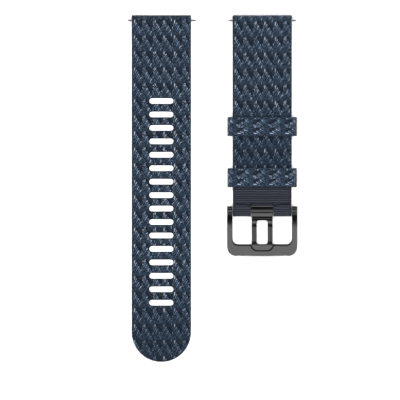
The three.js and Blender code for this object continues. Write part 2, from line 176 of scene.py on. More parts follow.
# A turned part along X: a ring is extruded and scaled through stations of place and radius.
def turnAcross(stations, hollow=False, sides=32):
    deselectAll()
    start, radius = stations[0]
    bpy.ops.mesh.primitive_circle_add(
        vertices=sides, radius=radius, location=(start, 0, 0), rotation=(0, math.pi / 2, 0)
    )
    obj = bpy.context.object
    applyPlace(obj)
    editAll(obj, "EDGE")
    if not hollow:
        bpy.ops.mesh.edge_face_add()
    for (fromX, fromRadius), (toX, toRadius) in zip(stations, stations[1:]):
        bpy.ops.mesh.extrude_region_move(TRANSFORM_OT_translate={"value": (toX - fromX, 0, 0)})
        share = toRadius / fromRadius
        bpy.ops.transform.resize(value=(1, share, share), center_override=(toX, 0, 0))
    bpy.ops.mesh.select_all(action="SELECT")
    bpy.ops.mesh.remove_doubles(threshold=1e-3)
    bpy.ops.mesh.normals_make_consistent(inside=False)
    stopEditing()
    return obj


def smooth(obj, angle=35):
    makeActive(obj)
    bpy.ops.object.shade_smooth_by_angle(angle=math.radians(angle))


# Brings a piece to metres and gives it its name, finish, body and the nodes that it stands for.
def finishPiece(obj, name, body, material, nodes, place=(0, 0, 0)):
    obj.location = [c * mm for c in place]
    obj.scale = (mm, mm, mm)
    applyPlace(obj)
    obj.name = name
    obj.data.name = name
    obj.data.materials.clear()
    obj.data.materials.append(material)
    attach(obj, body)
    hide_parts(*nodes)
    return obj


def cadBox(node):
    low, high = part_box(node)
    return np.array(low) / mm, np.array(high) / mm


# A merged copy of a CAD solid, in millimetres.
def copyNode(node):
    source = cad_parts[node]
    obj = source.copy()
    obj.data = source.data.copy()
    obj.data.transform(Matrix.Scale(1 / mm, 4))
    obj.parent = None
    for key in [k for k in obj.keys() if k.startswith("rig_")]:
        del obj[key]
    bpy.context.scene.collection.objects.link(obj)
    editAll(obj, "VERT")
    bpy.ops.mesh.remove_doubles(threshold=1e-3)
    bpy.ops.mesh.dissolve_limited(angle_limit=math.radians(0.5))
    stopEditing()
    return obj


# Colours from 0 to 255, as a paint chart gives them.
def colour(red, green, blue, alpha=1.0):
    def linear(value):
        value = value / 255
        return value / 12.92 if value <= 0.04045 else ((value + 0.055) / 1.055) ** 2.4

    return (linear(red), linear(green), linear(blue), alpha)


def addNode(tree, kind, **settings):
    node = tree.nodes.new(kind)
    for name, value in settings.items():
        setattr(node, name, value)
    return node


# Sets a node's inputs to constants or links them to other nodes' outputs.
def feed(tree, node, inputs):
    for name, value in inputs.items():
        if isinstance(value, bpy.types.NodeSocket):
            tree.links.new(value, node.inputs[name])
        else:
            node.inputs[name].default_value = value
    return node


def mathNode(tree, operation, first, second=0.0, clamp=False):
    node = addNode(tree, "ShaderNodeMath", operation=operation, use_clamp=clamp)
    return feed(tree, node, {0: first, 1: second}).outputs[0]


def noiseNode(tree, place, scale, detail, roughness=0.5):
    node = addNode(tree, "ShaderNodeTexNoise")
    inputs = {"Vector": place, "Scale": scale, "Detail": detail, "Roughness": roughness}
    return feed(tree, node, inputs).outputs["Fac"]


def rampNode(tree, factor, stops, interpolation="LINEAR"):
    node = addNode(tree, "ShaderNodeValToRGB")
    node.color_ramp.interpolation = interpolation
    elements = node.color_ramp.elements
    while len(elements) < len(stops):
        elements.new(0.5)
    for element, (position, value) in zip(elements, stops):
        element.position = position
        element.color = value
    tree.links.new(factor, node.inputs["Fac"])
    return node.outputs["Color"]


def mixColours(tree, factor, first, second, blend="MIX"):
    node = addNode(tree, "ShaderNodeMix", data_type="RGBA", blend_type=blend)
    return feed(tree, node, {0: factor, 6: first, 7: second}).outputs[2]


def startGroup(name, inputs, outputs):
    tree = bpy.data.node_groups.new(name, "ShaderNodeTree")
    for socketName, kind, value in inputs:
        socket = tree.interface.new_socket(name=socketName, in_out="INPUT", socket_type=kind)
        if value is not None:
            socket.default_value = value
    for socketName, kind in outputs:
        tree.interface.new_socket(name=socketName, in_out="OUTPUT", socket_type=kind)
    return tree, addNode(tree, "NodeGroupInput"), addNode(tree, "NodeGroupOutput")


def placeGroup(tree, group, **values):
    return feed(tree, addNode(tree, "ShaderNodeGroup", node_tree=group), values)


def startMaterial(name, roughness, metallic=0.0):
    material = bpy.data.materials.new(name)
    material.use_nodes = True
    shader = material.node_tree.nodes["Principled BSDF"]
    shader.inputs["Roughness"].default_value = roughness
    shader.inputs["Metallic"].default_value = metallic
    return material, material.node_tree, shader


def bumpInto(tree, shader, height, strength, distance):
    node = addNode(tree, "ShaderNodeBump")
    feed(tree, node, {"Strength": strength, "Distance": distance, "Height": height})
    tree.links.new(node.outputs["Normal"], shader.inputs["Normal"])


# Spun fibre: fine streaks that run along a yarn, and slow changes of dye along the cloth.
# It reads the cloth's own place: across, along and a number for each yarn, in millimetres.
def fibreGroup():
    tree, given, result = startGroup(
        "spunFibre",
        [("Place", "NodeSocketVector", None), ("Fineness", "NodeSocketFloat", 9.0),
         ("Stretch", "NodeSocketFloat", 0.22), ("Contrast", "NodeSocketFloat", 0.5)],
        [("Shade", "NodeSocketFloat"), ("Height", "NodeSocketFloat")],
    )
    place = given.outputs["Place"]
    sizes = addNode(tree, "ShaderNodeCombineXYZ")
    feed(tree, sizes, {"X": 1.0, "Y": given.outputs["Stretch"], "Z": 1.0})
    squeeze = addNode(tree, "ShaderNodeVectorMath", operation="MULTIPLY")
    feed(tree, squeeze, {0: place, 1: sizes.outputs[0]})
    streaks = noiseNode(tree, squeeze.outputs[0], given.outputs["Fineness"], 3.0)
    dye = noiseNode(tree, place, 0.35, 2.0)
    both = mathNode(tree, "ADD", mathNode(tree, "MULTIPLY", streaks, 0.75),
                    mathNode(tree, "MULTIPLY", dye, 0.25))
    spread = mathNode(tree, "MULTIPLY", mathNode(tree, "SUBTRACT", both, 0.5), given.outputs["Contrast"])
    feed(tree, result, {"Shade": mathNode(tree, "ADD", spread, 1.0), "Height": streaks})
    return tree


# Satin metal: short brushed strokes along one direction, with a few rubbed spots.
def satinGroup():
    tree, given, result = startGroup(
        "satinMetal",
        [("Place", "NodeSocketVector", None), ("Fineness", "NodeSocketFloat", 2200.0),
         ("Rough", "NodeSocketFloat", 0.3), ("Rubbed", "NodeSocketFloat", 0.5)],
        [("Roughness", "NodeSocketFloat"), ("Height", "NodeSocketFloat"), ("Wear", "NodeSocketFloat")],
    )
    place = given.outputs["Place"]
    strokes = addNode(tree, "ShaderNodeMapping")
    feed(tree, strokes, {"Scale": (0.12, 1.0, 1.0), "Vector": place})
    brushed = noiseNode(tree, strokes.outputs[0], given.outputs["Fineness"], 4.0, 0.65)
    spotted = addNode(tree, "ShaderNodeMapRange")
    feed(tree, spotted, {"From Min": 0.52, "From Max": 0.72, "Value": noiseNode(tree, place, 320.0, 5.0)})
    wear = mathNode(tree, "MULTIPLY", spotted.outputs["Result"], given.outputs["Rubbed"])
    grain = mathNode(tree, "MULTIPLY", mathNode(tree, "SUBTRACT", brushed, 0.5), 0.1)
    rough = mathNode(tree, "ADD", given.outputs["Rough"], grain)
    rough = mathNode(tree, "ADD", rough, mathNode(tree, "MULTIPLY", wear, 0.08), clamp=True)
    feed(tree, result, {"Roughness": rough, "Height": brushed, "Wear": wear})
    return tree


spunFibre = fibreGroup()
satinMetal = satinGroup()


webbingDye = {
    "stops": [
        (0.0, (10, 15, 22)),
        (0.25, (34, 45, 58)),
        (0.5, (63, 79, 98)),
        (0.75, (95, 112, 134)),
        (1.0, (164, 176, 192)),
    ],
    "brown": (66, 56, 54),
    "roughness": 0.85,
    "sheen": 0.15,
    "fineness": 2.8,
    "stretch": 0.6,
    "contrast": 1.4,
}


# What all the cloth shares: a dull shader with a sheen, the mesh's tone and place, and spun fibre.
def startCloth(name, dye):
    material, tree, shader = startMaterial(name, dye["roughness"])
    shader.inputs["Sheen Weight"].default_value = dye["sheen"]
    shader.inputs["Sheen Roughness"].default_value = 0.4
    shader.inputs["Specular IOR Level"].default_value = 0.25
    tone = addNode(tree, "ShaderNodeAttribute", attribute_name="yarnTone").outputs["Fac"]
    place = addNode(tree, "ShaderNodeAttribute", attribute_name="clothPlace").outputs["Vector"]
    fibre = placeGroup(tree, spunFibre, Place=place, Fineness=dye["fineness"], Stretch=dye["stretch"],
                       Contrast=dye["contrast"])
    return material, tree, shader, tone, place, fibre


# Woven cloth in several yarns. The mesh says which yarn each float is.
def clothMaterial(name, dye, lift=1.0):
    material, tree, shader, tone, place, fibre = startCloth(name, dye)
    brown = addNode(tree, "ShaderNodeAttribute", attribute_name="yarnBrown")
    stops = [(at, colour(*[min(255, c * lift) for c in rgb])) for at, rgb in dye["stops"]]
    yarn = rampNode(tree, tone, stops)
    yarn = mixColours(tree, brown.outputs["Fac"], yarn, colour(*dye["brown"]))
    shade = addNode(tree, "ShaderNodeCombineColor")
    feed(tree, shade, {channel: fibre.outputs["Shade"] for channel in range(3)})
    finished = mixColours(tree, 1.0, yarn, shade.outputs[0], "MULTIPLY")
    tree.links.new(finished, shader.inputs["Base Color"])
    bumpInto(tree, shader, fibre.outputs["Height"], 0.35, 0.00006)
    return material


ribbonDye = {
    "dark": (17, 19, 25),
    "pale": (57, 60, 69),
    "edge": (33, 35, 42),
    "roughness": 0.8,
    "sheen": 0.12,
    "fineness": 3.2,
    "stretch": 4.5,
    "contrast": 1.3,
    "halfWidth": 10.9,
    "selvedge": 1.0,
}


# Ribbed cloth: the ribs are in the mesh, this adds their threads and a plain selvedge.
def ribbonMaterial(name, dye):
    material, tree, shader, tone, place, fibre = startCloth(name, dye)
    mixed = mathNode(tree, "MULTIPLY", tone, fibre.outputs["Shade"], clamp=True)
    ribs = rampNode(tree, mixed, [(0.0, colour(*dye["dark"])), (1.0, colour(*dye["pale"]))])
    split = feed(tree, addNode(tree, "ShaderNodeSeparateXYZ"), {0: place})
    side = mathNode(tree, "ABSOLUTE", split.outputs["X"])
    nearEdge = mathNode(tree, "SUBTRACT", side, dye["halfWidth"] - dye["selvedge"])
    edge = mathNode(tree, "MULTIPLY", nearEdge, 6.0, clamp=True)
    finished = mixColours(tree, mathNode(tree, "MULTIPLY", edge, 0.8), ribs, colour(*dye["edge"]))
    tree.links.new(finished, shader.inputs["Base Color"])
    bumpInto(tree, shader, fibre.outputs["Height"], 0.3, 0.00005)
    return material


def metalMaterial(name, tint, roughness, fineness, wearAndShade, anisotropic):
    material, tree, shader = startMaterial(name, roughness, 1.0)
    shader.inputs["Anisotropic"].default_value = anisotropic
    place = addNode(tree, "ShaderNodeTexCoord").outputs["Object"]
    satin = placeGroup(tree, satinMetal, Place=place, Fineness=fineness, Rough=roughness, Rubbed=wearAndShade)
    worn = tuple(min(1.0, c * 1.25) for c in tint[:3]) + (1.0,)
    finished = mixColours(tree, satin.outputs["Wear"], tint, worn)
    tree.links.new(finished, shader.inputs["Base Color"])
    tree.links.new(satin.outputs["Roughness"], shader.inputs["Roughness"])
    bumpInto(tree, shader, satin.outputs["Height"], 0.03, 0.00001)
    return material


webbingCloth = clothMaterial("wovenWebbing", webbingDye)
keeperCloth = clothMaterial("wovenKeeper", webbingDye, lift=1.03)
ribbedCloth = ribbonMaterial("ribbedRibbon", ribbonDye)
gunmetal = metalMaterial("gunmetal", (0.21, 0.21, 0.21, 1.0), 0.17, 2400.0, 0.25, 0.0)
steel = metalMaterial("springSteel", (0.62, 0.62, 0.63, 1.0), 0.3, 3000.0, 0.3, 0.0)
print("materials made")


# A smooth step from 1 down to 0.
def settle(share):
    share = np.clip(share, 0, 1)
    return (1 + np.cos(np.pi * share)) / 2


# A route is the line that a cloth's outer face follows, seen from its edge, with its outward
# direction. The cloth lies across it along X, or along Y for a keeper.
def makeRoute(points, across, turn=1, step=0.1):
    points = np.array(points, float)
    legs = np.linalg.norm(np.diff(points, axis=0), axis=1)
    along = np.concatenate([[0], np.cumsum(legs)])
    places = np.linspace(0, along[-1], int(along[-1] / step) + 1)
    first = np.interp(places, along, points[:, 0])
    second = np.interp(places, along, points[:, 1])
    run, rise = np.gradient(first), np.gradient(second)
    size = np.hypot(run, rise)
    return {
        "at": places, "first": first, "second": second, "length": along[-1], "across": across,
        "outFirst": -turn * rise / size, "outSecond": turn * run / size,
    }


# Points on a cloth from places across it, along its route and above its face.
def onRoute(route, across, along, height):
    first = np.interp(along, route["at"], route["first"])
    second = np.interp(along, route["at"], route["second"])
    first = first + height * np.interp(along, route["at"], route["outFirst"])
    second = second + height * np.interp(along, route["at"], route["outSecond"])
    if route["across"] == "X":
        return np.stack([across, first, second], axis=-1)
    return np.stack([first, across, second], axis=-1)


strap = {
    "width": 22.0,
    "thickness": 1.95,  # webbing and lining together
    "loop": 2.05,  # outer radius round a lug bar
    "ramp": 10.0,
    "tail": 3.9,  # of the folded end that shows underneath
    "tailLift": (2.5, 4.0),
    "liningTop": 0.75,
}


# From the free end over the face, round the lug bar and back underneath.
def strapRoute(endY, lugY, baseZ):
    axisY = lugY - strap["loop"]
    rise = 2 * strap["loop"] - strap["thickness"]
    points = [(endY, baseZ + strap["thickness"])]
    for back in np.linspace(strap["ramp"], 0, 30):
        points.append((axisY - back, baseZ + strap["thickness"] + rise * settle(back / strap["ramp"])))
    for angle in np.radians(np.linspace(90, -90, 31)[1:]):
        points.append((axisY + strap["loop"] * math.cos(angle),
                       baseZ + strap["loop"] * (1 + math.sin(angle))))
    liftFrom, liftTo = strap["tailLift"]
    for back in np.linspace(0, strap["tail"], 16)[1:]:
        lift = 1 - settle((back - liftFrom) / (liftTo - liftFrom))
        points.append((axisY - back, baseZ + strap["liningTop"] * lift))
    return makeRoute(points, "X")


weave = {
    "yarns": 56,
    "apexes": (2, 11, 21, 30, 40, 49),  # yarns where the chevrons point to the lug end
    "repeat": 5.97,
    "rightShare": 0.7,  # of the way to the next apex that the right limb takes
    "rightStep": 0.68,  # that the right limb falls from one yarn to the next
    "leftStep": 1.35,
    "tick": 1.8,
    "rightLimb": 2.3,
    "leftLimb": 1.6,
    "wellStart": 0.5,
    "wellLimit": 3.2,
    "fork": 0.6,
    "foot": 1.3,  # of each of the two floats under a tick
    "wellTop": 1.2,  # of the brownish upper end of a deep well
    "deepWell": 2.0,
    "dashPitch": 0.72,  # of the bound loops along the right edge
    "fill": 0.42,  # half width of a yarn as a share of the pitch
    "fillUneven": 0.06,
    "tooth": 0.8,  # length of the upper end of a limb's float, which is lighter by a painted highlight
    "relief": 0.2,  # of a float above the ground cloth
    "reliefUneven": 0.12,
    "sunk": 0.9,  # share of the relief that a float is sunk by
    "groundDrop": 0.16,
    "lean": 0.1,
    "shift": 0.08,  # of a whole yarn's repeat along it
    "shortest": 0.15,
    "edgePitch": 0.42,
}
# 0 is the darkest dye and 1 the palest.
tones = {
    "tick": 0.88,
    "foot": (0.52, 0.32, 0.42),
    "rightLimb": 0.68,
    "leftLimb": 0.6,
    # painted highlight on the upper end of a limb's float
    "toothHighlight": 0.05,
    "limbDrop": 0.04,
    "inside": (0.46, 0.34),  # of a chevron, upper and lower
    "fork": (0.7, 0.25),  # between two chevrons, and the well under it
    "deepWell": (0.2, 0.05),
    "well": 0.06,
    "brown": 0.5,
    "wild": [0.06, 0.15, 0.3, 0.45, 0.62],  # where the fold disturbs the weave
    "wildOdds": [0.3, 0.25, 0.2, 0.15, 0.1],
    "edgeShare": 0.45,  # left at the two outermost yarns
    "dashes": (0.66, 0.3),
    "dashUneven": 0.1,
    "uneven": 0.12,
    "twoTone": 0.19,  # how much lighter and darker the floats are by turns
    "ground": 0.06,
}
# The short loops that bind an edge.
binding = {
    "share": 0.56,  # half width of a loop as a share of the pitch
    "stand": 0.17,  # half thickness
    "inset": 0.75,
    "depth": 1.05,
    "tone": 0.16,
    "slotTone": 0.1,
    "keeperTone": 0.3,
    "uneven": 0.1,
}
# Keeps the dye of two floats or loops apart in the fibre's noise.
floatStep, loopStep = 3.7, 5.3


# One float of yarn, a slim closed lozenge of a few faces along Z, used for every stitch.
def floatShape():
    deselectAll()
    bpy.ops.mesh.primitive_uv_sphere_add(segments=4, ring_count=4, radius=1)
    obj = bpy.context.object
    startEditing(obj, "VERT")
    pick("VERT", lambda v: 0.5 < abs(v.co.z) < 0.9)
    bpy.ops.transform.resize(value=(1.22, 1.22, 0.95), center_override=(0, 0, 0))
    stopEditing()
    points = np.array([v.co for v in obj.data.vertices])
    faces = [list(p.vertices) for p in obj.data.polygons]
    bpy.data.objects.remove(obj, do_unlink=True)
    return points, faces


floatPoints, floatFaces = floatShape()


# Cuts a span by gaps that hold no yarn.
def spansLeft(low, high, gaps, shortest=0.3):
    spans = [(low, high)]
    for gapLow, gapHigh in gaps:
        kept = []
        for spanLow, spanHigh in spans:
            if gapHigh <= spanLow or gapLow >= spanHigh:
                kept.append((spanLow, spanHigh))
                continue
            kept.append((spanLow, gapLow))
            kept.append((gapHigh, spanHigh))
        spans = [s for s in kept if s[1] - s[0] > shortest]
    return spans


# Where a yarn lies in its chevron: yarns from the apex, below zero to the left, and its fall.
def placeInChevron(yarn, apexes):
    before = [apex for apex in apexes if apex <= yarn]
    after = [apex for apex in apexes if apex > yarn]
    right = yarn - before[-1] if before else None
    left = after[0] - yarn if after else None
    if right is not None and (left is None or right <= weave["rightShare"] * (right + left)):
        return right, weave["rightStep"] * right
    return -left, weave["leftStep"] * left


# The floats of one chevron repeat on a yarn from its apex end down, as length, tone and brown. A
# tick or a limb comes first, then the inside of the chevron, then the dark well under the last one.
def repeatFloats(away, fall):
    v, t = weave, tones
    if away == 0:
        lengths = (v["foot"], v["foot"], v["repeat"] - v["tick"] - 2 * v["foot"])
        return [(v["tick"], t["tick"], 0)] + [(size, tone, 0) for size, tone in zip(lengths, t["foot"])]
    side = "rightLimb" if away > 0 else "leftLimb"
    limb, toneAt = v[side], t[side]
    well = min(max(fall - v["wellStart"], 0.5), v["wellLimit"])
    inside = v["repeat"] - limb - well
    upper, lower = t["inside"]
    floats = [(v["tooth"], toneAt + t["toothHighlight"], 0), (limb - v["tooth"], toneAt - t["limbDrop"], 0)]
    floats += [(inside * 0.45, upper, 0), (inside * 0.55, lower, 0)]
    if abs(away) == 1:
        fork, under = t["fork"]
        return floats + [(v["fork"], fork, 0), (well - v["fork"], under, 0)]
    if well > v["deepWell"]:
        upper, lower = t["deepWell"]
        return floats + [(v["wellTop"], upper, t["brown"]), (well - v["wellTop"], lower, 0)]
    return floats + [(well, t["well"], 0)]


# Lists the floats of a woven face: across, along, half length, tone, brown and lean.
def weaveFace(width, yarns, apexes, tickAt, low, high, gapsOf, dice, wildFrom=None, paintedShade=None):
    pitch = width / yarns
    floats = []

    def add(yarn, centre, length, tone, brown, lean, gaps):
        across = (yarn + 0.5) * pitch - width / 2
        spans = spansLeft(max(centre - length / 2, low), min(centre + length / 2, high), gaps)
        for spanLow, spanHigh in spans:
            middle = (spanLow + spanHigh) / 2
            floats.append((across, middle, (spanHigh - spanLow) / 2, tone, brown, lean))

    for yarn in range(yarns):
        away, fall = placeInChevron(yarn, apexes)
        gaps = gapsOf((yarn + 0.5) * pitch - width / 2)
        if yarn == yarns - 2 and yarns == weave["yarns"]:
            for number in range(int((high - low) / weave["dashPitch"])):
                tone = tones["dashes"][number % 2] + dice.normal(0, tones["dashUneven"])
                centre = low + (number + 0.5) * weave["dashPitch"]
                add(yarn, centre, weave["dashPitch"], tone, 0, weave["lean"], gaps)
            continue
        top = tickAt - fall
        first = math.floor((low - top) / weave["repeat"]) - 1
        last = math.ceil((high - top) / weave["repeat"]) + 1
        lean = weave["lean"] * np.sign(away)
        for repeat in range(first, last + 1):
            firstHalf = (weave["tick"], weave["rightLimb"], weave["leftLimb"])[int(np.sign(away))] / 2
            at = top + repeat * weave["repeat"] + firstHalf + dice.normal(0, weave["shift"])
            for number, (length, tone, brown) in enumerate(repeatFloats(away, fall)):
                at -= length
                if length < weave["shortest"]:
                    continue
                centre = at + length / 2
                ply = tones["twoTone"] * (-1) ** (yarn + number)
                tone = tone * (1 + ply + dice.normal(0, tones["uneven"]))
                brown = brown * dice.random()
                if wildFrom is not None and centre > wildFrom:
                    tone = dice.choice(tones["wild"], p=tones["wildOdds"])
                if yarn in (0, yarns - 1):
                    tone *= tones["edgeShare"]
                # Painted shade along the cloth, as the caller gives it.
                if paintedShade is not None:
                    tone *= paintedShade(centre)
                add(yarn, centre, length, tone, brown, lean, gaps)
    return np.array(floats), pitch


# Turns listed floats into vertices on a route.
def placeFloats(route, floats, pitch, centre, dice):
    count = len(floats)
    local = floatPoints[None, :, :]
    across, along, half, tone, brown, lean = [floats[:, i, None] for i in range(6)]
    halfWidth = pitch * weave["fill"] * (1 + dice.normal(0, weave["fillUneven"], (count, 1)))
    high = weave["relief"] * (1 + dice.normal(0, weave["reliefUneven"], (count, 1)))
    across = across + halfWidth * local[:, :, 0] + lean * local[:, :, 2]
    along = along + half * local[:, :, 2]
    height = high * local[:, :, 1] - weave["relief"] * weave["sunk"]
    points = onRoute(route, (across + centre).ravel(), along.ravel(), height.ravel())
    ones = np.ones((1, local.shape[1]))
    serial = np.arange(count)[:, None] * ones
    return {
        "points": points,
        "tone": (tone * ones).ravel(),
        "brown": (brown * ones).ravel(),
        "place": np.stack([across.ravel(), along.ravel(), serial.ravel() * floatStep], axis=-1),
    }


# Short loops of weft that bind an edge, each standing upright on the cloth's side.
# spots are across and along; out is the outward direction in the cloth's plane.
def placeEdge(route, spots, out, centre, dice, tone=binding["tone"]):
    v = binding
    depth = v["depth"]
    count = len(spots)
    local = floatPoints[None, :, :]
    side = np.stack([-out[:, 1], out[:, 0]], axis=-1)
    wide = weave["edgePitch"] * v["share"]
    flat = spots[:, None, :] + side[:, None, :] * wide * local[:, :, 0, None]
    flat = flat + out[:, None, :] * v["stand"] * (local[:, :, 1, None] - v["inset"])
    height = -depth / 2 + depth / 2 * local[:, :, 2] * np.ones((count, 1))
    points = onRoute(route, (flat[:, :, 0] + centre).ravel(), flat[:, :, 1].ravel(), height.ravel())
    ones = np.ones((1, local.shape[1]))
    dyed = np.clip(dice.normal(tone, v["uneven"], (count, 1)), 0, 1)
    serial = np.arange(count)[:, None] * ones
    return {
        "points": points,
        "tone": (dyed * ones).ravel(),
        "brown": np.zeros(count * local.shape[1]),
        "place": np.stack([flat[:, :, 0].ravel(), flat[:, :, 1].ravel(), serial.ravel() * loopStep], -1),
    }


def writeAttributes(mesh, tone, brown, place):
    for name, values in (("yarnTone", tone), ("yarnBrown", brown)):
        layer = mesh.attributes.new(name, "FLOAT", "POINT")
        layer.data.foreach_set("value", np.asarray(values, np.float32))
    layer = mesh.attributes.new("clothPlace", "FLOAT_VECTOR", "POINT")
    layer.data.foreach_set("vector", np.asarray(place, np.float32).ravel())


def clothMesh(name, points, faces, tone, brown, place):
    mesh = bpy.data.meshes.new(name)
    mesh.from_pydata(points.tolist(), [], faces)
    writeAttributes(mesh, tone, brown, place)
    obj = bpy.data.objects.new(name, mesh)
    bpy.context.scene.collection.objects.link(obj)
    editAll(obj)
    bpy.ops.mesh.normals_make_consistent(inside=False)
    bpy.ops.mesh.faces_shade_smooth()
    stopEditing()
    return obj


# One mesh of all the stitches in several lists.
def stitchMesh(name, groups):
    points, tone, brown, place = [
        np.concatenate([g[key] for g in groups]) for key in ("points", "tone", "brown", "place")
    ]
    faces = []
    for start in range(0, len(points), len(floatPoints)):
        faces.extend([[start + corner for corner in face] for face in floatFaces])
    return clothMesh(name, points, faces, tone, brown, place)


# The ground cloth that the floats lie on: the CAD solid drawn in by the floats' height.
def groundCloth(node):
    obj = copyNode(node)
    applyModifier(obj, "TRIANGULATE")
    applyModifier(obj, "DISPLACE", strength=-weave["groundDrop"], mid_level=0)
    low, high = cadBox(node)
    points = np.array([v.co for v in obj.data.vertices])
    count = len(points)
    place = points - (low + high) / 2
    writeAttributes(obj.data, np.full(count, tones["ground"]), np.zeros(count), place)
    smooth(obj, 30)
    return obj


# Makes the two pieces that stand for a woven node: its ground cloth and its yarns.
def finishWoven(node, name, body, cloth, groups):
    yarns = stitchMesh(name + "_yarns", groups)
    ground = groundCloth(node)
    finishPiece(ground, name + "_ground", body, cloth, [node])
    finishPiece(yarns, name + "_yarns", body, cloth, [node])
    return ground, yarns


longHalf = {
    "slots": 16,
    "slotPitch": 5.0,
    "slotFromTip": 22.0,
    "slotLength": 9.0,
    "slotWidth": 2.1,
    "rim": 0.16,
    "slotEndLoops": 7,
    "tipLoops": 84,
    "flatRepeat": 3,  # the tick row, counted from the lug end, that the others are set out from
    "tickFromLug": 8.2,
    "wildFold": 1.9,  # from the lug end, where the weave is disturbed by the fold
    "tipShade": (0.2, 30.0, 18.0),  # painted shade: how much darker the tip is, where that ends and over what length
    "seed": 11,
}
longLow, longHigh = cadBox("long_strap_webbing")
longX = (longLow[0] + longHigh[0]) / 2
longTip = longLow[1]
longLug = longHigh[1]


# Stretches along the long half with no yarn at a place across it: past the tip, and in the slots.
def longGaps(across):
    v = longHalf
    radius = strap["width"] / 2
    tipAt = radius - math.sqrt(max(radius ** 2 - across ** 2, 0))
    gaps = [(-1, tipAt + v["rim"])]
    reach = (v["slotLength"] - v["slotWidth"]) / 2
    end = v["slotWidth"] / 2 + v["rim"]
    beyond = max(abs(across) - reach, 0)
    if beyond < end:
        half = math.sqrt(end ** 2 - beyond ** 2)
        for slot in range(v["slots"]):
            centre = v["slotFromTip"] + slot * v["slotPitch"]
            gaps.append((centre - half, centre + half))
    return gaps


# Beads of sealed yarn round a stadium-shaped slot.
def slotRim(centre):
    v = longHalf
    radius = v["slotWidth"] / 2
    reach = (v["slotLength"] - v["slotWidth"]) / 2
    spots, out = [], []
    straight = int(2 * reach / weave["edgePitch"])
    for side in (-1, 1):
        for step in range(straight):
            across = -reach + (step + 0.5) * 2 * reach / straight
            spots.append((across, centre + side * radius))
            out.append((0, -side))
        for angle in np.radians(np.linspace(-75, 75, v["slotEndLoops"])):
            spots.append((side * (reach + radius * math.cos(angle)), centre + radius * math.sin(angle)))
            out.append((-side * math.cos(angle), -math.sin(angle)))
    return np.array(spots), np.array(out)


def sideSpots(low, high, half):
    count = int((high - low) / weave["edgePitch"])
    along = low + (np.arange(count) + 0.5) * (high - low) / count
    spots = np.concatenate([np.stack([np.full(count, side * half), along], -1) for side in (-1, 1)])
    out = np.concatenate([np.stack([np.full(count, side), np.zeros(count)], -1) for side in (-1, 1)])
    return spots, out


def makeLongWebbing():
    dice = np.random.default_rng(longHalf["seed"])
    route = strapRoute(longTip, longLug, longLow[2])
    tickAt = longLug - longHalf["tickFromLug"] - longHalf["flatRepeat"] * weave["repeat"] - longTip
    fold = strap["tail"] + math.pi * strap["loop"]
    wild = route["length"] - fold - longHalf["wildFold"] + strap["loop"]
    amount, shadeEnd, shadeLength = longHalf["tipShade"]

    # Painted shade, darker towards the tip.
    def paintedShade(along):
        return 1 - amount * min(max((shadeEnd - along) / shadeLength, 0), 1)

    floats, pitch = weaveFace(strap["width"], weave["yarns"], weave["apexes"], tickAt,
                              0.1, route["length"], longGaps, dice, wild, paintedShade)
    groups = [placeFloats(route, floats, pitch, longX, dice)]
    half = strap["width"] / 2
    spots, out = sideSpots(half, route["length"] - 0.3, half)
    groups.append(placeEdge(route, spots, out, longX, dice))
    angles = np.radians(np.linspace(-88, 88, longHalf["tipLoops"]))
    spots = np.stack([half * np.sin(angles), half - half * np.cos(angles)], -1)
    out = np.stack([np.sin(angles), -np.cos(angles)], -1)
    groups.append(placeEdge(route, spots, out, longX, dice))
    for slot in range(longHalf["slots"]):
        spots, out = slotRim(longHalf["slotFromTip"] + slot * longHalf["slotPitch"])
        groups.append(placeEdge(route, spots, out, longX, dice, binding["slotTone"]))
    ground, yarns = finishWoven("long_strap_webbing", "long_strap", "root", webbingCloth,
                                groups)


makeLongWebbing()
print("long half woven")

shortHalf = {
    "flatRepeat": 4,
    "tickFromLug": 2.8,
    "wearAndShade": (0.13, 3.0, 17.0),  # painted shade of the keepers: how much darker, between these distances from the buckle end
    "seed": 12,
}
shortLow, shortHigh = cadBox("short_strap_webbing")
shortX = (shortLow[0] + shortHigh[0]) / 2
shortEnd = shortLow[1]
shortLug = shortHigh[1]
shortBase = cadBox("short_strap_ribbon")[0][2]


def makeShortWebbing():
    dice = np.random.default_rng(shortHalf["seed"])
    route = strapRoute(shortEnd, shortLug, shortBase)
    tickAt = shortLug - shortHalf["tickFromLug"] - shortHalf["flatRepeat"] * weave["repeat"] - shortEnd
    amount, shadeFrom, shadeTo = shortHalf["wearAndShade"]

    # Painted shade: darker between the keepers.
    def paintedShade(along):
        return 1 - amount * (shadeFrom < along < shadeTo)

    floats, pitch = weaveFace(strap["width"], weave["yarns"], weave["apexes"], tickAt,
                              0.1, route["length"], lambda across: [], dice, None, paintedShade)
    groups = [placeFloats(route, floats, pitch, shortX, dice)]
    spots, out = sideSpots(0, route["length"] - 0.3, strap["width"] / 2)
    groups.append(placeEdge(route, spots, out, shortX, dice))
    ground, yarns = finishWoven("short_strap_webbing", "short_strap", "root", webbingCloth,
                                groups)


makeShortWebbing()
print("short half woven")

keeper = {
    "length": 7.0,
    "corner": 2.0,
    "yarns": 18,
    "apexes": (2, 9, 17),
    "firstTick": 4.35,  # from the left side
    "seeds": {"free_keeper": 13, "fixed_keeper": 14},
}


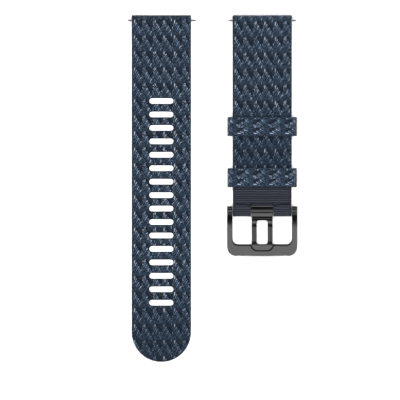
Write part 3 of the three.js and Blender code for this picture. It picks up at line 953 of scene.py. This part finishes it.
def makeKeeper(node, body):
    dice = np.random.default_rng(keeper["seeds"][node])
    low, high = cadBox(node)
    centreX, centreY = (low[0] + high[0]) / 2, (low[1] + high[1]) / 2
    radius = keeper["corner"]
    half = (high[0] - low[0]) / 2 - radius
    points = [(centreX, low[2])]
    for sideX, sideZ, start in ((1, 0, -90), (1, 1, 0), (-1, 1, 90), (-1, 0, 180)):
        cornerZ = high[2] - radius if sideZ else low[2] + radius
        for angle in np.radians(np.linspace(start, start + 90, 13)):
            points.append((centreX + sideX * half + radius * math.cos(angle),
                           cornerZ + radius * math.sin(angle)))
    points.append((centreX, low[2]))
    route = makeRoute(points, "Y", turn=-1)
    side = high[2] - low[2] - 2 * radius
    topStart = half + math.pi * radius + side
    tickAt = topStart + 2 * half + radius - keeper["firstTick"]
    floats, pitch = weaveFace(keeper["length"], keeper["yarns"], keeper["apexes"], tickAt,
                              0, route["length"], lambda across: [], dice)
    groups = [placeFloats(route, floats, pitch, centreY, dice)]
    spots, out = sideSpots(0, route["length"], keeper["length"] / 2)
    groups.append(placeEdge(route, spots, out, centreY, dice, binding["keeperTone"]))
    finishWoven(node, node, body, keeperCloth, groups)


makeKeeper("free_keeper", "free_keeper")
makeKeeper("fixed_keeper", "root")
print("keepers woven")

ribs = {
    "pitch": 0.88,
    "height": 0.16,
    "samples": 8,
    "columns": 44,
    "selvedge": 1.0,
    "wave": 0.13,
    "waves": (9.0, 4.3, 2.1),  # lengths across of the ribs' uneven run
    "drift": 0.35,
    "fullness": 0.6,  # below 1 gives wide crests and narrow valleys
    "edgeRound": (0.3, 0.12),  # width and drop at the strip's edges
    "thread": 2.5,  # how narrow the pale thread on each rib is
    "tone": (0.1, 0.75),  # in a valley, and added on a crest
    "toneUneven": 0.15,
    "backTone": 0.4,
    "foldShadowWidth": 0.4,
    "foldShadowWave": 0.25,
}


# A closed strip of ribbed cloth whose ribbed face follows a route, with a painted shadow line across it
# if one is given.
def ribbedStrip(name, route, centre, width, thickness, samples, columns, seed, foldShadow=None):
    dice = np.random.default_rng(seed)
    rows = int(route["length"] / ribs["pitch"] * samples)
    along = np.linspace(0, route["length"], rows + 1)
    across = np.linspace(-width / 2, width / 2, columns + 1)
    acrossGrid, alongGrid = np.meshgrid(across, along)
    bend = np.zeros_like(acrossGrid)
    for size in ribs["waves"]:
        phase = dice.random(2) * 2 * math.pi
        turned = acrossGrid * 2 * math.pi / size + phase[0] + alongGrid * ribs["drift"] / size
        bend += np.sin(turned) * size / ribs["waves"][0]
    number = (alongGrid + bend * ribs["wave"] * 0.5) / ribs["pitch"]
    crest = np.abs(np.sin(np.pi * number)) ** ribs["fullness"]
    plain = np.clip((width / 2 - np.abs(acrossGrid)) / ribs["selvedge"], 0, 1) ** 2
    plain = np.clip(plain * 3 - 1.2, 0, 1)
    height = -ribs["height"] * (1 - crest) * plain
    edgeWidth, edgeDrop = ribs["edgeRound"]
    edgeRound = np.clip((width / 2 - np.abs(acrossGrid)) / edgeWidth, 0, 1)
    height = height - edgeDrop * (1 - edgeRound)
    outer, inner = [
        onRoute(route, acrossGrid.ravel() + centre, alongGrid.ravel(), above).reshape((-1, 3))
        for above in (height.ravel(), np.full(acrossGrid.size, -thickness))
    ]
    wide = columns + 1
    total = len(outer)
    faces = []
    for row in range(rows):
        for column in range(columns):
            a = row * wide + column
            faces.append((a, a + 1, a + 1 + wide, a + wide))
            faces.append((a + total, a + wide + total, a + 1 + wide + total, a + 1 + total))
        for a in (row * wide, row * wide + columns):
            faces.append((a, a + wide, a + wide + total, a + total))
    for column in range(columns):
        for a in (column, rows * wide + column):
            faces.append((a, a + 1, a + 1 + total, a + total))
    rowTone = dice.normal(1, ribs["toneUneven"], int(number.max()) + 3)
    lift = rowTone[np.clip(np.floor(number).astype(int) + 1, 0, len(rowTone) - 1)]
    valleyTone, crestTone = ribs["tone"]
    tone = valleyTone + crestTone * lift * np.abs(np.sin(np.pi * number)) ** ribs["thread"]
    # A painted shadow line across the ribs, wavy like them.
    if foldShadow is not None:
        line = foldShadow + ribs["foldShadowWave"] * bend
        shaded = np.exp(-((alongGrid - line) / ribs["foldShadowWidth"]) ** 2) * plain
        tone = tone * (1 - shaded)
    tone = np.clip(tone, 0, 1).ravel()
    place = np.stack([acrossGrid.ravel(), alongGrid.ravel(), np.zeros(acrossGrid.size)], -1)
    under = (0, 0, 5)  # keeps the dye of the two faces apart
    return clothMesh(name, np.concatenate([outer, inner]), faces,
                     np.concatenate([tone, np.full(total, ribs["backTone"])]), np.zeros(2 * total),
                     np.concatenate([place, place + under]))


ribbon = {
    "thickness": 0.6,
    "layerGap": 0.15,
    "loop": 2.0,  # outer radius round the buckle bar
    "ramp": 7.0,
    "foldShadow": 2.6,  # painted shadow line across the fold over the bar, behind the pin
    "cutHalf": 4.25,
    "cutBack": 2.98,  # of the tongue's cut-out, from the pin
    "cutCorner": 0.6,
    "underCutBack": 1.9,  # of its lower run
    "underCutCorner": 0.3,
    "underCutTop": 0.1,
    "cutAhead": 4.0,
    "apart": 0.03,  # keeps two cuts' sides out of one plane
    "seed": 21,
}
ribbonLow, ribbonHigh = cadBox("short_strap_ribbon")
frameLow, frameHigh = cadBox("buckle_frame")
pinY = ribbonLow[1] + ribbon["loop"]
pinZ = ribbonLow[2] + ribbon["loop"]
pin = ((frameLow[0] + frameHigh[0]) / 2, pinY, pinZ)


def ribbonRoute():
    v = ribbon
    top = ribbonLow[2] + 2 * v["thickness"] + v["layerGap"]
    rise = 2 * v["loop"] - 2 * v["thickness"] - v["layerGap"]
    topEnd = cadBox("short_strap_webbing")[0][1] - 0.3
    points = [(ribbonHigh[1], ribbonLow[2])]
    for angle in np.radians(np.linspace(270, 90, 41)):
        points.append((pinY + v["loop"] * math.cos(angle), pinZ + v["loop"] * math.sin(angle)))
    for ahead in np.linspace(0, v["ramp"], 30)[1:]:
        points.append((pinY + ahead, top + rise * settle(ahead / v["ramp"])))
    points.append((topEnd, top))
    return makeRoute(points, "X")


def makeRibbon():
    v = ribbon
    width = ribbonHigh[0] - ribbonLow[0]
    centre = (ribbonHigh[0] + ribbonLow[0]) / 2
    foldShadowAt = ribbonHigh[1] - pinY + math.pi * v["loop"] + v["foldShadow"]
    obj = ribbedStrip("short_strap_ribbon_cloth", ribbonRoute(), centre, width, v["thickness"],
                      ribs["samples"], ribs["columns"], v["seed"], foldShadowAt)
    middle = pinZ + v["underCutTop"]
    cuts = [
        (v["cutHalf"], v["cutBack"], v["cutCorner"], middle - 0.1, pinZ + 3),
        (v["cutHalf"] - v["apart"], v["underCutBack"], v["underCutCorner"], pinZ - 3, middle),
    ]
    for half, back, corner, low, high in cuts:
        ahead = v["cutAhead"] + half * 0.01
        cutter = box((pin[0] - half, pinY - ahead, low), (pin[0] + half, pinY + back, high))
        roundUprights(cutter, lambda x, y: y > pinY, corner, 6)
        combine(obj, cutter, "DIFFERENCE")
    finishPiece(obj, "short_strap_ribbon_cloth", "root", ribbedCloth, ["short_strap_ribbon"])


makeRibbon()
print("ribbon folded")

lining = {
    "seed": 22,
    "samples": 6,
    "columns": 20,
}


def makeLining():
    low, high = cadBox("long_strap_lining")
    route = makeRoute([(high[1], low[2]), (low[1], low[2])], "X")
    obj = ribbedStrip("long_strap_lining_cloth", route, longX, high[0] - low[0], high[2] - low[2],
                      lining["samples"], lining["columns"], lining["seed"])
    cutter = copyNode("long_strap_lining")
    cutter.data.transform(Matrix.Scale(4, 4, (0, 0, 1)))
    cutter.data.transform(Matrix.Translation((0, 0, -1)))
    combine(obj, cutter, "INTERSECT")
    finishPiece(obj, "long_strap_lining_cloth", "root", ribbedCloth, ["long_strap_lining"])


makeLining()
print("lining laid")

bars = {
    "lug": {"tube": 0.75, "bore": 0.55, "half": 10.7, "travel": 1.5},
    "buckle": {"tube": 0.9, "bore": 0.62, "half": 10.6, "travel": 1.2},
    "pivot": 0.35,
    "gap": 0.05,
    "lip": 0.5,
    "stem": 4.0,
    "wire": 0.09,
    "turns": 4.5,  # of the spring, on each side of its middle
    "stemEdge": 0.06,
    "rolledEdge": 0.08,
    "springEnd": 0.3,  # from a spring's end to the middle of its tip's stem
    "leverRadius": 0.35,
    "leverReach": 2.5,
    "leverWaist": 0.72,
    "leverDome": 0.3,
    "leverClearance": 0.1,
}


def barCentre(prefix):
    low, high = cadBox(prefix + "_bar_tube")
    return tuple((low + high) / 2)


def makeSleeve(prefix, kind, leverX=None):
    v = bars[kind]
    lip = bars["pivot"] + bars["gap"]
    half = v["half"]
    soft = bars["rolledEdge"]
    obj = turnAcross([
        (-half, lip), (-half, v["tube"] - soft), (-half + soft, v["tube"]),
        (half - soft, v["tube"]), (half, v["tube"] - soft), (half, lip),
        (half - bars["lip"], lip), (half - bars["lip"], v["bore"]),
        (-half + bars["lip"], v["bore"]), (-half + bars["lip"], lip), (-half, lip),
    ], hollow=True)
    if leverX is not None:
        room = bars["leverRadius"] + bars["leverClearance"]
        cutter = box((leverX - room, -room, -2), (leverX + v["travel"] + room, room, 0))
        roundUprights(cutter, lambda x, y: True, room * 0.9, 5)
        cutter.rotation_euler = (math.pi / 4, 0, 0)
        applyPlace(cutter)
        combine(obj, cutter, "DIFFERENCE")
    smooth(obj)
    finishPiece(obj, prefix + "_bar_sleeve", "root", steel, [prefix + "_bar_tube"],
                barCentre(prefix))


def makeTip(prefix, kind, node, body, side, reach):
    v = bars[kind]
    stem = v["bore"] - bars["gap"]
    shoulder = v["half"] - bars["lip"] - bars["gap"]
    inner = v["half"] - bars["lip"] - bars["stem"]
    nose = bars["pivot"] / 2
    edge = bars["stemEdge"]
    stations = [(inner, stem - edge), (inner + edge, stem), (shoulder - edge, stem),
                (shoulder, stem - edge), (shoulder, bars["pivot"]), (reach - nose, bars["pivot"])]
    for angle in np.radians((30, 55, 75)):
        stations.append((reach - nose + nose * math.sin(angle),
                         bars["pivot"] - nose + nose * math.cos(angle)))
    obj = turnAcross(stations)
    if side < 0:
        obj.rotation_euler = (0, 0, math.pi)
        applyPlace(obj)
    smooth(obj)
    finishPiece(obj, node + "_pin", body, steel, [node], barCentre(prefix))


# The spring in two halves, each pressed together by the tip at its end.
def makeCoil(prefix, kind, joints):
    v = bars[kind]
    length = v["half"] - bars["lip"] - bars["stem"] - bars["springEnd"]
    radius = v["bore"] - bars["gap"] - bars["wire"]
    steps = int(24 * bars["turns"])
    centre = barCentre(prefix)
    for side, joint, word in zip((-1, 1), joints, ("left", "right")):
        deselectAll()
        bpy.ops.mesh.primitive_circle_add(vertices=8, radius=bars["wire"], rotation=(math.pi / 2, 0, 0),
                                          location=(side * 1.5 * bars["wire"], 0, radius))
        obj = bpy.context.object
        applyPlace(obj)
        applyModifier(obj, "SCREW", axis="X", angle=2 * math.pi * bars["turns"],
                      screw_offset=side * length, steps=steps, render_steps=steps)
        editAll(obj)
        bpy.ops.mesh.fill_holes(sides=8)
        bpy.ops.mesh.normals_make_consistent(inside=False)
        stopEditing()
        smooth(obj)
        finishPiece(obj, prefix + "_bar_coil_" + word, "root", steel, [prefix + "_bar_spring"],
                    centre)
        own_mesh(obj)


# A stud with a waist and a domed end, leaning down and out through the fold.
def makeLever(prefix, body):
    low, high = cadBox(prefix + "_bar_release_lever")
    radius, reach, dome = bars["leverRadius"], bars["leverReach"], bars["leverDome"]
    waist = radius * bars["leverWaist"]
    foot = bars["lug"]["bore"] - bars["gap"] + 0.03
    stations = [(foot, radius), (reach - 0.75, radius), (reach - 0.65, waist), (reach - 0.5, waist),
                (reach - 0.4, radius)]
    for angle in np.radians((20, 45, 65, 80)):
        stations.append((reach - dome + dome * math.sin(angle), radius * math.cos(angle) ** 0.6))
    obj = turnAcross(stations, sides=24)
    obj.rotation_euler = (0, math.pi / 2, 0)
    applyPlace(obj)
    obj.rotation_euler = (math.pi / 4, 0, 0)
    applyPlace(obj)
    smooth(obj)
    _, axisY, axisZ = barCentre(prefix)
    place = ((low[0] + high[0]) / 2, axisY, axisZ)
    finishPiece(obj, prefix + "_release_stud", body, steel, [prefix + "_bar_release_lever"],
                place)


def makeBars():
    lugTips, buckleTips = ("lever_tip", "plain_tip"), ("left_tip", "right_tip")
    for prefix, kind, words in (("long", "lug", lugTips), ("short", "lug", lugTips),
                                ("buckle", "buckle", buckleTips)):
        centre = barCentre(prefix)
        leverX = None
        if kind == "lug":
            low, high = cadBox(prefix + "_bar_release_lever")
            leverX = (low[0] + high[0]) / 2 - centre[0]
        makeSleeve(prefix, kind, leverX)
        makeCoil(prefix, kind, [prefix + "_" + word + "_slide" for word in words])
        for side, word in zip((-1, 1), words):
            node = prefix + "_bar_" + word
            low, high = cadBox(node)
            reach = max(abs(low[0] - centre[0]), abs(high[0] - centre[0]))
            makeTip(prefix, kind, node, prefix + "_" + word, side, reach)
        if kind == "lug":
            makeLever(prefix, prefix + "_lever_tip")


makeBars()
print("spring bars turned")

buckle = {
    "armWidth": 2.0,
    "knuckle": 2.0,
    "rise": 2.4,  # top of the front bar above the pin
    "thickness": 2.2,
    "rampEnd": 7.85,
    "topDrop": 1.55,
    "underDrop": 1.5,
    "frontInner": 12.31,
    "frontOuter": 16.73,
    "bow": 0.35,
    "outerCorner": 4.6,
    "cornerFullness": 0.61,
    "innerCorner": 2.1,
    "flare": 0.6,  # width of the sloping rim round the opening
    "armFlare": 0.2,
    "flareDepth": 0.17,
    "pinHole": 0.5,
    "pinHoleDepth": 1.3,
    "edge": 0.1,
}
tongue = {
    "half": 3.9,
    "barrelHalf": 4.1,
    "tip": 14.5,
    "tipCorner": 2.3,
    "barrel": 2.0,
    "bore": 1.0,
    "window": (2.035, 3.4, 12.24),  # half width, start and end from the pin
    "windowCorner": 0.8,
    "bedGap": 0.08,  # beside the tip at the bed's floor
    "bedRim": 0.5,  # and at its rim
    "bedFloor": 1.15,
    # height above the pin by distance in front of it
    "top": [(0, 1.8), (1.9, 1.8), (2.04, 1.89), (2.7, 1.74), (2.8, 1.74), (3.65, 1.46), (4.6, 1.46),
            (5.1, 0.92), (5.85, 0.7), (11.3, 1.45), (12.2, 2.32), (12.7, 2.4), (14.5, 2.4)],
    "under": [(0, -1.2), (2.0, -0.3), (5.7, -0.05), (11.0, 0.25), (12.11, 1.3), (14.5, 1.3)],
    "groove": (0.45, 0.33),  # its middle and its half width
    # height over the barrel by distance behind the pin
    "crown": [(-2.1, 1.9), (-0.9, 1.9), (-0.8, 1.93), (0.12, 1.93), (0.4, 1.89), (0.85, 1.81),
              (1.45, 1.63)],
    "crownFrom": 0.9,  # height above the pin where the barrel stops being round
    "crownStretch": 1.137,
    "lip": (1.5, 1.92, 0.8, 1.1),  # start, end, bottom and top behind the pin
    "lipRoot": (0.6, 0.5, 0.1),  # how far it goes into the barrel, below the lip and into it
    "lipPast": 0.05,  # beyond the barrel's ends
    "hook": 0.3,
    "hookStart": 0.9,
    "edge": 0.26,
}


def archTop(distance):
    left = np.clip((buckle["rampEnd"] - distance) / buckle["rampEnd"], 0, 1)
    return buckle["rise"] - buckle["topDrop"] * left ** 2


def archUnder(distance):
    left = np.clip((buckle["rampEnd"] - distance) / buckle["rampEnd"], 0, 1)
    return buckle["rise"] - buckle["thickness"] - buckle["underDrop"] * left ** 2


# Sets the height of a block's upper and lower points by their distance in front of the pin.
def shapeSides(obj, top, under):
    for vertex in obj.data.vertices:
        distance = -vertex.co.y
        vertex.co.z = top(distance) if vertex.co.z > 0 else under(distance)


def tipBlock(grow, low, high, start):
    half, end = tongue["half"] + grow, -tongue["tip"] - grow
    obj = box((-half, end, low), (half, start, high))
    roundUprights(obj, lambda x, y: y < end + 0.1, tongue["tipCorner"], 8)
    return obj


# A block that starts inside the opening and widens upwards, to leave a shallow sloping rim, wide
# along the front bar and narrow along the arms.
def flaredBlock(half, front, corner):
    v = buckle
    start = 0.15  # of the slope, inside the opening
    low = v["rise"] - v["flareDepth"] * (1 + start)
    high = v["rise"] + v["flareDepth"]
    behind = 5
    obj = box((-half + v["armFlare"] * start, -front + v["flare"] * start, low),
              (half - v["armFlare"] * start, behind, high))
    roundUprights(obj, lambda x, y: y < 0, corner, 8)
    startEditing(obj)
    pick("FACE", lambda f: f.normal.z > 0.9)
    grow = 2 + start
    share = (1 + v["armFlare"] * grow / half, 1 + v["flare"] * grow / (front + behind), 1)
    bpy.ops.transform.resize(value=share, center_override=(0, behind, 0))
    stopEditing()
    return obj


# A bed for the tongue's tip whose walls lean outwards.
def tipBed(start):
    v = tongue
    obj = tipBlock(v["bedGap"], v["bedFloor"], 2 * buckle["rise"] - v["bedFloor"], start)
    startEditing(obj)
    pick("FACE", lambda f: f.normal.z > 0.9)
    grow = 2 * (v["bedRim"] - v["bedGap"])
    long = v["tip"] + v["bedGap"] + start
    bpy.ops.transform.resize(value=(1 + grow / (v["half"] + v["bedGap"]), 1 + grow / long, 1),
                             center_override=(0, start, 0))
    stopEditing()
    return obj


def makeFrame():
    v = buckle
    half = (frameHigh[0] - frameLow[0]) / 2
    inner = half - v["armWidth"]
    obj = box((-half, -v["frontOuter"], -3), (half, 0, 3))
    roundUprights(obj, lambda x, y: y < -1, v["outerCorner"], 12, v["cornerFullness"])
    cutRows(obj, np.linspace(-8, 8, 9), (1, 0, 0))
    for vertex in obj.data.vertices:
        if vertex.co.y < -v["frontOuter"] + 0.01:
            vertex.co.y += v["bow"] * (vertex.co.x / half) ** 2
    cutRows(obj, np.linspace(0, v["rampEnd"], 13)[1:])
    shapeSides(obj, archTop, archUnder)
    for side in (-1, 1):
        combine(obj, rodAcross(v["knuckle"], *sorted((side * inner, side * half))), "UNION")
    opening = box((-inner, -v["frontInner"], -5), (inner, 5, 5))
    roundUprights(opening, lambda x, y: y < 0, v["innerCorner"], 8)
    combine(obj, opening, "DIFFERENCE")
    combine(obj, flaredBlock(inner, v["frontInner"], v["innerCorner"]), "DIFFERENCE")
    reach = inner + v["pinHoleDepth"]
    combine(obj, rodAcross(v["pinHole"], -reach, reach, 24), "DIFFERENCE")
    combine(obj, tipBed(-v["frontInner"] + 1), "DIFFERENCE")
    smooth(obj, 12)
    applyModifier(obj, "BEVEL", width=v["edge"], segments=2, limit_method="ANGLE",
                  angle_limit=math.radians(50), miter_outer="MITER_ARC", harden_normals=True)
    finishPiece(obj, "buckle_frame_body", "buckle_frame", gunmetal, ["buckle_frame"], pin)


def makeTongue():
    v = tongue
    obj = tipBlock(0, -5, 5, 0)
    stations = sorted({at for at, _ in v["top"] + v["under"] if 0.01 < at < v["tip"] - 0.01})
    cutRows(obj, stations)
    topAt, topHeight = zip(*v["top"])
    underAt, underHeight = zip(*v["under"])
    shapeSides(obj, lambda d: np.interp(d, topAt, topHeight),
               lambda d: np.interp(d, underAt, underHeight))
    side = v["barrelHalf"]
    crownAt, crownHeight = zip(*v["crown"])
    barrel = rodAcross(v["barrel"], -side, side, 96)
    for vertex in barrel.data.vertices:
        if vertex.co.z > v["crownFrom"]:
            if vertex.co.y < 0:
                vertex.co.y *= v["crownStretch"]
            if vertex.co.y < crownAt[-1]:
                vertex.co.z = float(np.interp(vertex.co.y, crownAt, crownHeight))
    combine(obj, barrel, "UNION")
    groove = box((-6, -1, -1), (6, 1, 1))
    middle, half = v["groove"]
    groove.rotation_euler = (math.pi / 4, 0, 0)
    groove.scale = (1, half / math.sqrt(2), half / math.sqrt(2))
    groove.location = (0, -middle, v["crown"][0][1])
    applyPlace(groove)
    combine(obj, groove, "DIFFERENCE")
    start, end, low, high = v["lip"]
    reach, below, into = v["lipRoot"]
    past = v["lipPast"]
    apart = 0.03  # keeps the blocks' faces out of one plane
    root = side - apart
    combine(obj, box((-root, start - reach, low - below), (root, end - apart, low + into)), "UNION")
    combine(obj, box((-side - past, start, low), (side + past, end, high)), "UNION")
    for sign in (-1, 1):
        ends = sorted((sign * (side - v["hook"]), sign * (side + past)))
        hook = box((ends[0], v["hookStart"], low + 0.02), (ends[1], start + into, high - 0.02))
        combine(obj, hook, "UNION")
    combine(obj, rodAcross(v["bore"], -6, 6, 40), "DIFFERENCE")
    halfWindow, start, end = v["window"]
    window = box((-halfWindow, -end, -5), (halfWindow, -start, 5))
    roundUprights(window, lambda x, y: True, v["windowCorner"], 5)
    combine(obj, window, "DIFFERENCE")
    smooth(obj, 6)
    applyModifier(obj, "BEVEL", width=v["edge"], segments=2, limit_method="ANGLE",
                  angle_limit=math.radians(60), miter_outer="MITER_ARC", harden_normals=True)
    finishPiece(obj, "buckle_tongue_plate", "buckle_tongue", gunmetal, ["buckle_tongue"], pin)


makeFrame()
makeTongue()
print("buckle formed")

studio = {
    "floorWidth": 3.0,
    "floorShade": 0.9,
    "view": 0.1488,  # across the picture
    "aim": (-0.00471, -0.00431),
    "height": 0.6,
    "overhead": 12.0,
    "lightHeight": 0.8,
    "lightSize": 0.4,
    "underSky": 0.9,
    "sky": [  # brightness by the sine of the height above the horizon
        (0.0, 0.03),
        (0.15, 0.09),
        (0.33, 0.34),
        (0.62, 0.34),
        (0.80, 0.02),
        (0.925, 0.015),
        (0.99, 0.66),
    ],
}


def makeFloor():
    deselectAll()
    bpy.ops.mesh.primitive_plane_add(size=studio["floorWidth"], location=(0, 0, cadLow[2] - 0.0001))
    floor = bpy.context.object
    floor.name = "floor"
    material, tree, shader = startMaterial("paleFloor", 0.9)
    shade = studio["floorShade"]
    shader.inputs["Base Color"].default_value = (shade, shade, shade, 1)
    shader.inputs["Specular IOR Level"].default_value = 0.1
    floor.data.materials.append(material)


def makeSky():
    world = bpy.data.worlds.new("softStudio")
    bpy.context.scene.world = world
    world.use_nodes = True
    tree = world.node_tree
    background = tree.nodes["Background"]
    place = addNode(tree, "ShaderNodeTexCoord")
    split = addNode(tree, "ShaderNodeSeparateXYZ")
    tree.links.new(place.outputs["Generated"], split.inputs[0])
    under = studio["underSky"]
    stops = [(0.0, (under, under, under, 1)), (0.49, (under, under, under, 1))]
    stops += [(0.5 + at / 2, (value, value, value, 1)) for at, value in studio["sky"]]
    height = mathNode(tree, "MULTIPLY", mathNode(tree, "ADD", split.outputs["Z"], 1.0), 0.5)
    sky = rampNode(tree, height, stops, "EASE")
    # Seen directly, what lies behind the floor is as white as the floor.
    seen = addNode(tree, "ShaderNodeLightPath").outputs["Is Camera Ray"]
    tree.links.new(mixColours(tree, seen, sky, (1, 1, 1, 1)), background.inputs["Color"])


def makeLights():
    deselectAll()
    bpy.ops.object.light_add(type="AREA", location=(0, 0, studio["lightHeight"]))
    light = bpy.context.object
    light.name = "overhead_softbox"
    light.data.size = studio["lightSize"]
    light.data.energy = studio["overhead"]
    light.visible_glossy = False


def makeCamera():
    deselectAll()
    aimX, aimY = studio["aim"]
    bpy.ops.object.camera_add(location=(aimX, aimY, studio["height"]), rotation=(0, 0, 0))
    camera = bpy.context.object
    camera.data.type = "ORTHO"
    camera.data.ortho_scale = studio["view"]
    camera.data.clip_start = 0.01
    camera.data.clip_end = 10
    bpy.context.scene.camera = camera


makeFloor()
makeSky()
makeLights()
makeCamera()
bpy.context.scene.view_settings.view_transform = "Standard"
print("studio set")
